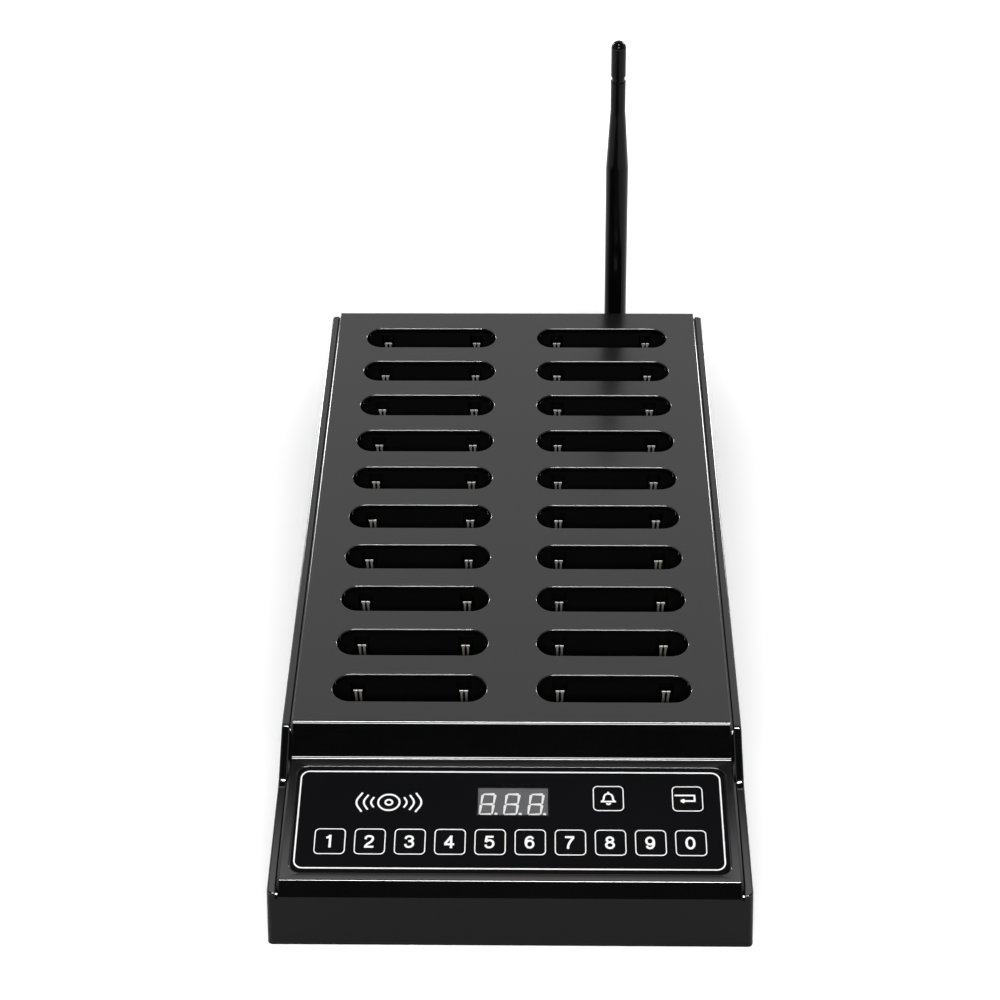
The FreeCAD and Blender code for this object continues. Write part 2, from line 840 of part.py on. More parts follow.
def dc_jack():
    """Barrel socket: flange, threaded barrel, blind bore and centre pin."""
    y = y_front + wall_u(jack_height - jack_flange) + touch
    inner = y - y_front - wall_u(jack_height) + wall + jack_depth
    barrel = Part.makeCylinder(jack_barrel, inner + jack_lip, V(0, 0, -inner))
    floor = V(0, 0, jack_lip - jack_depth)
    body = Part.makeCylinder(jack_flange, jack_lip).fuse(barrel)
    body = body.cut(Part.makeCylinder(jack_bore, jack_depth, floor))
    pin = Part.makeCylinder(jack_pin, jack_depth - over, floor)
    lugs = [box(end * jack_lug_half - lug_thickness / 2, end * jack_lug_half + lug_thickness / 2,
                -jack_lug_width / 2, jack_lug_width / 2, -inner - jack_lug_length, -inner)
            for end in (-1, 1)]
    return along_y(body.fuse([pin] + lugs).removeSplitter(), jack_x, y, jack_height)


def dc_jack_nut():
    y = y_front + wall_u(jack_height + jack_flange) - wall - touch - jack_nut_height
    nut = hexagon(jack_flange, jack_nut_height, jack_barrel + thread_clearance)
    return along_y(nut, jack_x, y, jack_height)


def antenna_connector():
    """Bulkhead connector: hexagon inside the wall, thread outside."""
    inner = wall_u(antenna_height + nut_half) - wall - touch
    reach = coupling_y() - y_front - inner + coupling_grip
    body = hexagon(nut_half, connector_hex)
    body.translate(V(0, 0, -connector_hex))
    tail = Part.makeCylinder(connector_tail, connector_tail,
                             V(0, 0, -connector_hex - connector_tail))
    body = body.fuse([tail, Part.makeCylinder(thread_radius, reach)])
    return along_y(body.removeSplitter(), antenna_x, y_front + inner, antenna_height)


def connector_nut():
    y = y_front + wall_u(antenna_height - nut_half) + touch
    nut = hexagon(nut_half, nut_height, thread_radius + thread_clearance)
    return along_y(nut, antenna_x, y, antenna_height)


def coupling_y():
    """The front face of the antenna's coupling."""
    return y_front + wall_u(antenna_height - nut_half) + nut_height + 2 * touch


def antenna_coupling():
    """The coupling that screws onto the connector, with the swivel's spigot."""
    bore = thread_radius + thread_clearance
    grip = coupling_grip + thread_clearance
    end = coupling_length + spigot_length
    outline = [(bore, 0), (coupling_radius, 0), (coupling_radius, coupling_length),
               (spigot_radius, coupling_length), (spigot_radius, end), (0, end), (0, grip),
               (bore, grip)]
    return along_y(turned(outline), antenna_x, coupling_y(), antenna_height)


def leaned(shape):
    """Lean an antenna piece about the swivel axis."""
    shape = shape.copy()
    shape.rotate(V(antenna_x, 0, antenna_height), V(0, 1, 0), -antenna_lean)
    return shape


def across_hinge(radius, half):
    """A cylinder on the hinge axis."""
    return Part.makeCylinder(radius, 2 * half, V(antenna_x - half, hinge_y, antenna_height),
                             V(1, 0, 0))


def antenna_knuckle():
    """The swivel barrel with the two ears that hold the mast."""
    start = coupling_y() + coupling_length + swivel_gap
    length = hinge_y + ear_radius + over - start
    barrel = along_y(Part.makeCylinder(barrel_radius, length), antenna_x, start, antenna_height)
    neck = box(antenna_x - ear_outer, antenna_x + ear_outer, start - over, hinge_y,
               antenna_height - ear_radius, antenna_height + ear_radius)
    body = barrel.common(neck.fuse(across_hinge(ear_radius, ear_outer)).removeSplitter())
    slot = tongue_half + tongue_gap
    fork = box(antenna_x - slot, antenna_x + slot, hinge_y - tongue_radius - fork_gap,
               hinge_y + tool_depth, antenna_height - tool_depth, antenna_height + tool_depth)
    bore = along_y(Part.makeCylinder(spigot_radius + pin_clearance, spigot_length),
                   antenna_x, start, antenna_height)
    hole = across_hinge(pin_radius + near, ear_outer + over)
    return leaned(body.cut([fork, bore, hole]).removeSplitter())


def hinge_pin():
    return leaned(across_hinge(pin_radius, ear_outer - pin_short))


def on_hinge(shape):
    """Stand a mast piece made at the origin on the hinge axis."""
    shape = shape.copy()
    shape.translate(V(antenna_x, hinge_y, antenna_height))
    return leaned(shape)


def antenna_mast():
    """The mast: a tongue on the hinge, a long tapering sleeve and a thin neck."""
    sleeve = turned([(0, mast_root), (mast_radius, mast_root), (mast_radius, mast_shoulder),
                     (neck_radius, neck_start), (neck_radius, cap_start),
                     (mast_bore, cap_start), (mast_bore, radiator_foot), (0, radiator_foot)])
    tongue = box(-tongue_half, tongue_half, -tongue_radius, tongue_radius, 0, mast_root + over)
    eye = Part.makeCylinder(tongue_radius, 2 * tongue_half, V(-tongue_half, 0, 0), V(1, 0, 0))
    hole = Part.makeCylinder(pin_radius + pin_clearance, 2 * tongue_half,
                             V(-tongue_half, 0, 0), V(1, 0, 0))
    return on_hinge(sleeve.fuse([tongue, eye]).cut(hole).removeSplitter())


def antenna_cap():
    """The rounded cap above its groove."""
    groove_top = cap_start + cap_groove
    shoulder = antenna_length - cap_radius
    side = Part.makePolygon([V(0, 0, shoulder + cap_radius), V(0, 0, cap_start),
                             V(cap_groove_radius, 0, cap_start),
                             V(cap_groove_radius, 0, groove_top),
                             V(cap_radius, 0, groove_top), V(cap_radius, 0, shoulder)])
    diagonal = cap_radius / math.sqrt(2)
    dome = Part.Arc(V(cap_radius, 0, shoulder), V(diagonal, 0, shoulder + diagonal),
                    V(0, 0, shoulder + cap_radius)).toShape()
    face = Part.Face(Part.Wire(side.Edges + [dome]))
    return on_hinge(face.revolve(V(0, 0, 0), V(0, 0, 1), 360))


def antenna_radiator():
    """The radiating rod inside the mast, on its foot."""
    foot_top = radiator_foot + radiator_foot_height
    foot = mast_bore - radiator_gap
    top = cap_start - radiator_end_gap
    return on_hinge(turned([(0, radiator_foot), (foot, radiator_foot), (foot, foot_top),
                            (radiator_radius, foot_top), (radiator_radius, top), (0, top)]))


def radio_board():
    half = radio_board_width / 2
    return box(antenna_x - half, antenna_x + half, radio_board_y,
               radio_board_y + radio_board_depth, board_top - board_thickness, board_top)


def radio_shield():
    half = radio_board_width / 2
    return box(antenna_x - half + shield_side, antenna_x + half - shield_end,
               radio_board_y + shield_front, radio_board_y + radio_board_depth - shield_back,
               board_top, board_top + shield_height)


def coax_pigtail():
    """The thin lead from the radio board up to the connector."""
    start = y_front + wall_u(antenna_height + nut_half) - wall
    start -= connector_hex + connector_tail + 2 * touch
    turn = start - coax_reach
    route = [(start, antenna_height), (turn + coax_bend, antenna_height),
             (turn, antenna_height - coax_bend), (turn, board_top)]
    return flat_cable(route, antenna_x, coax_width, coax_width)


def build():
    """Every node of the model with its shape or list of shapes."""
    nodes = {
        "top_housing": housing(),
        "base_plate": base_plate(),
        "rubber_feet": rubber_feet(),
        "keypad_overlay": keypad_overlay(),
        "display_window": display_window(),
        "display_module": display_module(),
        "tactile_switches": tactile_switches(),
        "keypad_board": keypad_board(),
        "keypad_ribbon": keypad_ribbon(),
        "main_board": main_board(),
        "main_board_parts": main_board_parts(),
        "radio_board": radio_board(),
        "radio_shield": radio_shield(),
        "coax_pigtail": coax_pigtail(),
        "power_lead": power_lead(),
        "dc_jack": dc_jack(),
        "dc_jack_nut": dc_jack_nut(),
        "antenna_connector": antenna_connector(),
        "connector_nut": connector_nut(),
        "antenna_coupling": antenna_coupling(),
        "antenna_knuckle": antenna_knuckle(),
        "hinge_pin": hinge_pin(),
        "antenna_mast": antenna_mast(),
        "antenna_cap": antenna_cap(),
        "antenna_radiator": antenna_radiator(),
    }
    for name, side in (("left", -1), ("right", 1)):
        nodes["pocket_rack_" + name] = pocket_rack(side)
        nodes["charging_board_" + name] = charging_board(side)
        nodes["contacts_" + name] = contacts(side)
        nodes["charging_lead_" + name] = charging_lead(side)
    for name, x, s in key_places():
        nodes[name] = key(x, s)
    return nodes


os.makedirs("parts", exist_ok=True)
for name, shape in build().items():
    if isinstance(shape, list):
        shape = Part.makeCompound(shape)
    shape.exportStep(os.path.join("parts", name + ".step"))
    print(name, len(shape.Solids), round(shape.Volume, 1), shape.isValid())
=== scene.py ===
import math
import bmesh
import bpy
from mathutils import Matrix, Vector


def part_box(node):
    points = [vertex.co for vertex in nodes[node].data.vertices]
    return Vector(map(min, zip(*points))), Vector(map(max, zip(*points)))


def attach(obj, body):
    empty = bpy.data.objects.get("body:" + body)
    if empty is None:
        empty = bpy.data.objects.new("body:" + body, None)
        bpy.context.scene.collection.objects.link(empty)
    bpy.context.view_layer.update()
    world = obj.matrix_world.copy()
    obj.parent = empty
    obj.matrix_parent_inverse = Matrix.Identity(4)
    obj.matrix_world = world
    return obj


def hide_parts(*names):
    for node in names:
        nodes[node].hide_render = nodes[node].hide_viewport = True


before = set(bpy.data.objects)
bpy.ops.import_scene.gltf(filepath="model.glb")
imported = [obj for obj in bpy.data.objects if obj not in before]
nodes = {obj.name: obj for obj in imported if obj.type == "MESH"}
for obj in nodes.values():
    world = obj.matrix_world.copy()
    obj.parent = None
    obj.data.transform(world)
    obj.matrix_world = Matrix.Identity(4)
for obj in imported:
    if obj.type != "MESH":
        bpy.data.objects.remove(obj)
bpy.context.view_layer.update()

# Guest pager system: a moulded charging base with twenty pager pockets,
# a keypad panel with a three-digit display and a whip antenna at the rear.
# Everything is in metres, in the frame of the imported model.

mm = 0.001
scene = bpy.context.scene
caseBody = "case"
creaseAngle = 35.0       # degrees: shading breaks where two faces meet at more than this
sharpAngle = 50.0        # degrees: an edge sharper than this can be rounded
weldDistance = 0.002     # millimetres
flatAngle = 0.03         # degrees between triangles that belong to one flat area
planeTolerance = 0.03    # millimetres off the plane of the deck or the panel
keyNames = ["1", "2", "3", "4", "5", "6", "7", "8", "9", "0", "call", "enter"]


def srgb(hexCode):
    parts = [int(hexCode[i:i + 2], 16) / 255 for i in (1, 3, 5)]
    linear = [c / 12.92 if c <= 0.04045 else ((c + 0.055) / 1.055) ** 2.4 for c in parts]
    return (*linear, 1.0)


def addNode(tree, kind, settings=None, inputs=None):
    node = tree.nodes.new(kind)
    for name, value in (settings or {}).items():
        setattr(node, name, value)
    for name, value in (inputs or {}).items():
        if isinstance(value, bpy.types.NodeSocket):
            tree.links.new(value, node.inputs[name])
        else:
            node.inputs[name].default_value = value
    return node


def newMaterial(name):
    material = bpy.data.materials.new(name)
    material.use_nodes = True
    material.node_tree.nodes.clear()
    return material, material.node_tree


def finishSurface(tree, shader):
    addNode(tree, "ShaderNodeOutputMaterial", inputs={"Surface": shader})


def mouldedPlastic(name, look):
    # a fine spark-eroded grain breaks up the gloss, and the colour and gloss
    # drift a little over the length of the moulding
    material, tree = newMaterial(name)
    place = addNode(tree, "ShaderNodeTexCoord").outputs["Object"]
    grain = addNode(tree, "ShaderNodeTexNoise", inputs={
        "Vector": place, "Scale": 1 / (look["grain"] * mm), "Detail": 2.0, "Roughness": 0.6})
    drift = addNode(tree, "ShaderNodeTexNoise", inputs={
        "Vector": place, "Scale": 1 / (look["drift"] * mm), "Detail": 3.0, "Roughness": 0.5})
    tone = addNode(tree, "ShaderNodeMix", {"data_type": "RGBA"}, {
        0: drift.outputs["Fac"], 6: srgb(look["colour"]), 7: srgb(look["colourTo"])})
    gloss = addNode(tree, "ShaderNodeMapRange", inputs={
        "Value": drift.outputs["Fac"], "From Min": 0.3, "From Max": 0.7,
        "To Min": look["roughness"] - look["spread"],
        "To Max": look["roughness"] + look["spread"]})
    relief = addNode(tree, "ShaderNodeBump", inputs={
        "Strength": look["relief"], "Distance": look["grain"] * mm * 0.2,
        "Height": grain.outputs["Fac"]})
    shader = addNode(tree, "ShaderNodeBsdfPrincipled", inputs={
        "Base Color": tone.outputs[2], "Roughness": gloss.outputs["Result"],
        "IOR": look["ior"], "Specular IOR Level": look["specular"],
        "Normal": relief.outputs["Normal"]})
    finishSurface(tree, shader.outputs["BSDF"])
    return material


def platedMetal(name, look):
    # rolled or turned metal: a faint rub of tone and gloss across the plating
    material, tree = newMaterial(name)
    place = addNode(tree, "ShaderNodeTexCoord").outputs["Object"]
    rub = addNode(tree, "ShaderNodeTexNoise", inputs={
        "Vector": place, "Scale": 1 / (look["grain"] * mm), "Detail": 3.0})
    tone = addNode(tree, "ShaderNodeMix", {"data_type": "RGBA"}, {
        0: rub.outputs["Fac"], 6: srgb(look["colour"]), 7: srgb(look["colourTo"])})
    gloss = addNode(tree, "ShaderNodeMapRange", inputs={
        "Value": rub.outputs["Fac"], "To Min": look["roughness"] - look["spread"],
        "To Max": look["roughness"] + look["spread"]})
    shader = addNode(tree, "ShaderNodeBsdfPrincipled", inputs={
        "Base Color": tone.outputs[2], "Metallic": 1.0,
        "Roughness": gloss.outputs["Result"]})
    finishSurface(tree, shader.outputs["BSDF"])
    return material


plastic = {"grain": 0.6, "drift": 45.0, "spread": 0.01, "relief": 0.012, "ior": 1.53,
           "specular": 0.58, "roughness": 0.085, "colour": "#030303", "colourTo": "#050506"}
# the housing's top faces come from a polished tool: near black, clear reflections
housingAbs = mouldedPlastic("mouldedAbsPolished", plastic)
# the upright walls come from a sparked tool face: even charcoal, hardly any mirroring
wallAbs = mouldedPlastic("mouldedAbsSparked", {
    **plastic, "roughness": 0.34, "relief": 0.2, "specular": 0.09})
# the deck's tool is only draw-polished: what it mirrors is blurred to a soft grey
deckAbs = mouldedPlastic("mouldedAbsDrawPolished", {**plastic, "roughness": 0.2})
# a coarser texture under the case: flat black
baseAbs = mouldedPlastic("mouldedAbsMatte", {
    **plastic, "roughness": 0.5, "relief": 0.3, "specular": 0.35})
# unpolished pocket walls: the slots read as black holes
rackAbs = mouldedPlastic("mouldedAbsRack", {
    **plastic, "roughness": 0.5, "colour": "#020202", "colourTo": "#040404",
    "specular": 0.12})
# matt rubber, a shade paler than the case
footRubber = mouldedPlastic("siliconeRubberFoot", {
    **plastic, "roughness": 0.75, "colour": "#151515", "colourTo": "#1b1b1b", "relief": 0.4,
    "specular": 0.3})
# an anti-glare film: even dark grey, with no reflection
overlayFilm = mouldedPlastic("printedPolyesterFilm", {
    **plastic, "grain": 0.35, "roughness": 0.55, "relief": 0.08, "specular": 0.0,
    "colour": "#0f0f11", "colourTo": "#121214"})
# opaque ink: crisp matt white lines and figures
screenInk = mouldedPlastic("whiteScreenInk", {
    **plastic, "grain": 0.3, "drift": 4.0, "roughness": 0.6, "relief": 0.05, "specular": 0.0,
    "colour": "#f3f3f1", "colourTo": "#fafaf8"})
# soft-touch sleeve of the whip: near black, a little duller than the housing
antennaSleeve = mouldedPlastic("mouldedElastomerSleeve", {
    **plastic, "roughness": 0.15, "colour": "#030303", "colourTo": "#060606",
    "specular": 0.1})
# the socket's body: half-matt black
jackNylon = mouldedPlastic("mouldedNylonBlack", {**plastic, "roughness": 0.4})
# lacquered board: deep green with a satin sheen
solderMask = mouldedPlastic("greenSolderMask", {
    **plastic, "grain": 1.2, "roughness": 0.3, "colour": "#0d3a22", "colourTo": "#124528"})
# dull black blocks on the boards
chipEpoxy = mouldedPlastic("mouldedEpoxyChip", {**plastic, "roughness": 0.5})
# soft dark grey sleeving
leadPvc = mouldedPlastic("extrudedPvcLead", {
    **plastic, "roughness": 0.45, "colour": "#101010", "colourTo": "#161616"})
# pale flat ribbon with a low sheen
ribbonPolyester = mouldedPlastic("polyesterRibbon", {
    **plastic, "roughness": 0.35, "colour": "#b9b8b2", "colourTo": "#c6c5c0"})
# mid grey face that sets off the segments
digitFace = mouldedPlastic("greyEpoxyDisplayFace", {
    **plastic, "grain": 0.5, "drift": 6.0, "roughness": 0.45, "relief": 0.1, "specular": 0.1,
    "colour": "#646466", "colourTo": "#707073"})
# milky segments: soft white bars
digitLens = mouldedPlastic("milkyEpoxySegment", {
    **plastic, "grain": 0.4, "drift": 3.0, "roughness": 0.45, "relief": 0.05, "specular": 0.1,
    "colour": "#f6f6f4", "colourTo": "#fbfbf9"})
# bright warm white metal, blurred by the rolled strip under the plating
nickel = platedMetal("nickelPlatedSpringStrip", {
    "grain": 0.8, "colour": "#ebe8df", "colourTo": "#f8f5ee", "roughness": 0.6, "spread": 0.06})
# yellow glints at the antenna's connector
gold = platedMetal("goldPlatedBrass", {
    "grain": 0.8, "colour": "#c79a4b", "colourTo": "#d9ae5e", "roughness": 0.28, "spread": 0.06})
# cool grey sheet with a frosty tone
tinplate = platedMetal("tinnedSteelShield", {
    "grain": 2.5, "colour": "#b9bbbd", "colourTo": "#cccfd1", "roughness": 0.36, "spread": 0.08})
# dark metal with a faint edge gleam
blackZinc = platedMetal("blackZincScrew", {
    "grain": 0.8, "colour": "#2b2b2e", "colourTo": "#3a3a3d", "roughness": 0.38, "spread": 0.06})


def clearAcrylic():
    # a thin clear pane with the faintest grey tint, glossy enough to catch the lamps
    material, tree = newMaterial("castAcrylicPane")
    place = addNode(tree, "ShaderNodeTexCoord").outputs["Object"]
    haze = addNode(tree, "ShaderNodeTexNoise", inputs={
        "Vector": place, "Scale": 1 / (5 * mm), "Detail": 2.0})
    gloss = addNode(tree, "ShaderNodeMapRange", inputs={
        "Value": haze.outputs["Fac"], "To Min": 0.06, "To Max": 0.12})
    shader = addNode(tree, "ShaderNodeBsdfPrincipled", inputs={
        "Base Color": srgb("#1c1c1e"), "Roughness": gloss.outputs["Result"],
        "IOR": 1.49, "Alpha": 0.06})
    finishSurface(tree, shader.outputs["BSDF"])
    return material


windowPane = clearAcrylic()
print("finishes made")


def makePiece(name, shape, body, *finishes):
    mesh = bpy.data.meshes.new(name)
    shape.to_mesh(mesh)
    shape.free()
    if "custom_normal" in mesh.attributes:
        mesh.attributes.remove(mesh.attributes["custom_normal"])
    for finish in finishes:
        mesh.materials.append(finish)
    piece = bpy.data.objects.new(name, mesh)
    scene.collection.objects.link(piece)
    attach(piece, body)
    return piece


def smoothFaces(shape, crease=creaseAngle):
    # soft shading, broken where two faces meet at more than the crease angle
    for face in shape.faces:
        face.smooth = True
    for edge in shape.edges:
        edge.smooth = (len(edge.link_faces) == 2
                       and edge.calc_face_angle(0) < math.radians(crease))


def evenShading(piece):
    # large flat faces keep their own normal beside small roundings
    weighted = piece.modifiers.new("flatFacesFirst", "WEIGHTED_NORMAL")
    weighted.keep_sharp = True
    weighted.weight = 80


def mergedCopy(node):
    # the node's triangles welded, with each flat area made one face again
    shape = bmesh.new()
    shape.from_mesh(nodes[node].data)
    bmesh.ops.remove_doubles(shape, verts=shape.verts, dist=weldDistance * mm)
    bmesh.ops.dissolve_limit(shape, angle_limit=math.radians(flatAngle), verts=shape.verts,
                             edges=shape.edges)
    for face in shape.faces:
        face.material_index = 0
    return shape


def sharpEdge(edge):
    return len(edge.link_faces) == 2 and edge.calc_face_angle(0) > math.radians(sharpAngle)


def roundEdges(shape, edges, width, segments):
    bmesh.ops.bevel(shape, geom=edges, offset=width * mm, offset_type="OFFSET",
                    affect="EDGES", segments=segments, profile=0.5, material=-1)


def softenedCopy(node, name, body, finish, width=0.0):
    # stands for the node, with its sharp edges rounded by the width in millimetres
    shape = mergedCopy(node)
    if width > 0:
        roundEdges(shape, [e for e in shape.edges if sharpEdge(e)], width, 2)
    smoothFaces(shape)
    piece = makePiece(name, shape, body, finish)
    evenShading(piece)
    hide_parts(node)


# every carried-over solid takes its finish
slotFinish = {
    "base_plate": baseAbs, "rubber_feet": footRubber,
    "pocket_rack_left": rackAbs, "pocket_rack_right": rackAbs,
    "charging_board_left": solderMask, "charging_board_right": solderMask,
    "contacts_left": nickel, "contacts_right": nickel,
    "charging_lead_left": leadPvc, "charging_lead_right": leadPvc,
    "power_lead": leadPvc, "coax_pigtail": leadPvc,
    "display_window": windowPane, "display_module": digitFace,
    "tactile_switches": chipEpoxy, "keypad_board": solderMask,
    "keypad_ribbon": ribbonPolyester, "main_board": solderMask,
    "main_board_parts": chipEpoxy, "radio_board": solderMask,
    "radio_shield": tinplate, "dc_jack_nut": nickel, "connector_nut": gold,
    "antenna_connector": gold, "hinge_pin": nickel, "antenna_radiator": tinplate,
    "top_housing": housingAbs, "keypad_overlay": overlayFilm, "dc_jack": jackNylon,
    "antenna_coupling": antennaSleeve, "antenna_knuckle": antennaSleeve,
    "antenna_mast": antennaSleeve, "antenna_cap": antennaSleeve}
for key in keyNames:
    slotFinish["key_" + key] = overlayFilm
for node, finish in slotFinish.items():
    nodes[node].data.materials.clear()
    nodes[node].data.materials.append(finish)
print("frame finished:", len(nodes), "nodes")


housing = {
    "frontY": -199.6028, "frontZ": 33.75, "panelSlope": 8.75,    # panel's front edge
    "deckY": -129.8028, "deckZ": 58.4005, "deckSlope": 3.0,      # deck's front edge
    "middleY": -15.0,
    "wallLean": 0.2,         # most that an outer wall's normal rises or falls
    "facesOut": 0.3,         # least that it points away from the middle
    "slotRound": 0.55, "recessRound": 0.45}

panelPlace = (Matrix.Translation((0, housing["frontY"] * mm, housing["frontZ"] * mm))
              @ Matrix.Rotation(math.radians(housing["panelSlope"]), 4, "X"))
deckPlace = (Matrix.Translation((0, housing["deckY"] * mm, housing["deckZ"] * mm))
             @ Matrix.Rotation(math.radians(housing["deckSlope"]), 4, "X"))


def onPlane(item, place):
    # true for an edge or a face that lies in the plane of the deck or the panel
    back = place.inverted()
    return all(abs((back @ v.co).z) < planeTolerance * mm for v in item.verts)


def outerWall(face):
    # true for the upright faces round the outside of the case
    outward = face.calc_center_median() - Vector((0, housing["middleY"] * mm, 0))
    outward.z = 0
    return (abs(face.normal.z) < housing["wallLean"]
            and face.normal.dot(outward.normalized()) > housing["facesOut"])


def wallKind(face):
    # 0 the panel, step, chamfer and rims, 1 the outer walls, 2 the deck
    if outerWall(face):
        return 1
    return 2 if onPlane(face, deckPlace) else 0


def housingShell():
    shape = mergedCopy("top_housing")
    for face in shape.faces:
        face.material_index = wallKind(face)
    slots = [e for e in shape.edges if sharpEdge(e) and onPlane(e, deckPlace)]
    roundEdges(shape, slots, housing["slotRound"], 3)
    recess = [e for e in shape.edges if e.is_valid and sharpEdge(e) and onPlane(e, panelPlace)]
    roundEdges(shape, recess, housing["recessRound"], 3)
    print("housing edges rounded:", len(slots), len(recess))
    smoothFaces(shape)
    piece = makePiece("mouldedHousing", shape, caseBody, housingAbs, wallAbs, deckAbs)
    evenShading(piece)
    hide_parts("top_housing")


housingShell()
softenedCopy("keypad_overlay", "panelOverlay", caseBody, overlayFilm, 0.12)
softenedCopy("rubber_feet", "rubberFeet", caseBody, footRubber, 0.4)
softenedCopy("dc_jack", "powerSocket", caseBody, jackNylon)
softenedCopy("antenna_knuckle", "whipKnuckle", "antenna_swivel", antennaSleeve, 0.2)
for node in ("antenna_cap", "antenna_mast"):
    softenedCopy(node, node.replace("antenna_", "whip_"), "antenna_mast_body", antennaSleeve)
print("housing and whip made")


coupling = {"x": 54.6, "z": 30.0, "radius": 5.0, "start": 1.0, "end": 6.4, "ribs": 28,
            "height": 0.35}


def couplingGrip():
    # a straight-knurled band round the coupling that screws the whip on
    look = coupling
    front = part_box("antenna_coupling")[0][1]
    shape = bmesh.new()
    made = bmesh.ops.create_circle(shape, segments=2 * look["ribs"], radius=look["radius"] * mm)
    for i, v in enumerate(made["verts"]):
        v.co *= 1 + (i % 2) * look["height"] / look["radius"]
    ring = shape.edges[:]
    grown = bmesh.ops.extrude_edge_only(shape, edges=ring)
    far = [v for v in grown["geom"] if isinstance(v, bmesh.types.BMVert)]
    bmesh.ops.translate(shape, verts=far, vec=(0, 0, (look["end"] - look["start"]) * mm))
    bmesh.ops.holes_fill(shape, edges=[e for e in shape.edges if e.is_boundary], sides=0)
    bmesh.ops.recalc_face_normals(shape, faces=shape.faces)
    shape.transform(Matrix.Translation((look["x"] * mm, front + look["start"] * mm,
                                        look["z"] * mm)) @ Matrix.Rotation(-math.pi / 2, 4, "X"))
    smoothFaces(shape, 20)
    makePiece("couplingGrip", shape, caseBody, antennaSleeve)


couplingGrip()


screws = {"x": 94.583, "front": 22.0, "rows": (0.0, 0.5, 1.0), "radius": 2.7, "round": 0.35,
          "socket": 1.5, "lobe": 0.22, "lobes": 6, "height": 0.8, "depth": 0.55}


def baseScrews():
    # pan-head screws with a six-lobe socket, driven up into the housing's bosses
    look = screws
    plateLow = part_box("base_plate")[0][2]
    caseLow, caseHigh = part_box("top_housing")
    front, rear = caseLow[1] + look["front"] * mm, caseHigh[1] - look["front"] * mm
    shape = bmesh.new()
    for side in (-1, 1):
        for share in look["rows"]:
            before = set(shape.faces)
            made = bmesh.ops.create_circle(shape, cap_ends=True, segments=24,
                                           radius=look["radius"] * mm)
            disc = made["verts"][0].link_faces[0]
            grown = bmesh.ops.extrude_face_region(shape, geom=[disc])
            top = [f for f in grown["geom"] if isinstance(f, bmesh.types.BMFace)]
            bmesh.ops.translate(shape, verts=top[0].verts, vec=(0, 0, look["height"] * mm))
            roundEdges(shape, top[0].edges[:], look["round"], 3)
            crown = max((f for f in shape.faces if f not in before),
                        key=lambda f: f.calc_center_median().z)
            ledge = look["radius"] - look["round"] - look["socket"]
            bmesh.ops.inset_individual(shape, faces=[crown], thickness=ledge * mm)
            for v in crown.verts:
                turn = math.atan2(v.co.y, v.co.x)
                v.co.xy *= 1 + look["lobe"] * math.cos(look["lobes"] * turn)
            grown = bmesh.ops.extrude_discrete_faces(shape, faces=[crown])
            floor = grown["faces"][0]
            bmesh.ops.translate(shape, verts=floor.verts, vec=(0, 0, -look["depth"] * mm))
            place = (Matrix.Translation((side * look["x"] * mm, front + share * (rear - front),
                                         plateLow)) @ Matrix.Rotation(math.pi, 4, "X"))
            fresh = list({v for f in shape.faces if f not in before for v in f.verts})
            bmesh.ops.transform(shape, matrix=place, verts=fresh)
    bmesh.ops.recalc_face_normals(shape, faces=shape.faces)
    smoothFaces(shape)
    makePiece("baseScrews", shape, caseBody, blackZinc)


baseScrews()
print("coupling grip and screws made")


panelPrint = {
    "top": -0.25, "sunk": 0.03, "proud": 0.03,      # from the overlay's surface
    "borderWidth": 182.5, "borderLow": 5.88, "borderHigh": 56.62, "borderRadius": 4.0,
    "borderLine": 0.65,
    "keyWidth": 13.3, "keyHeight": 13.1, "keyRadius": 2.1, "keyLine": 0.44,
    "keyPitch": 17.0472, "middleColumn": 4.5, "rowS": 19.709, "upperS": 42.567,
    "printShift": -0.3,      # the border and numerals stand this far off the keys' middle
    "signShift": -0.5,       # and the call and enter keys' print this far
    "numeralStroke": 1.02, "signStroke": 0.84, "signX": -52.5, "signS": 40.0}
signColumns = {"call": 7, "enter": 9}       # the number keys that they stand behind

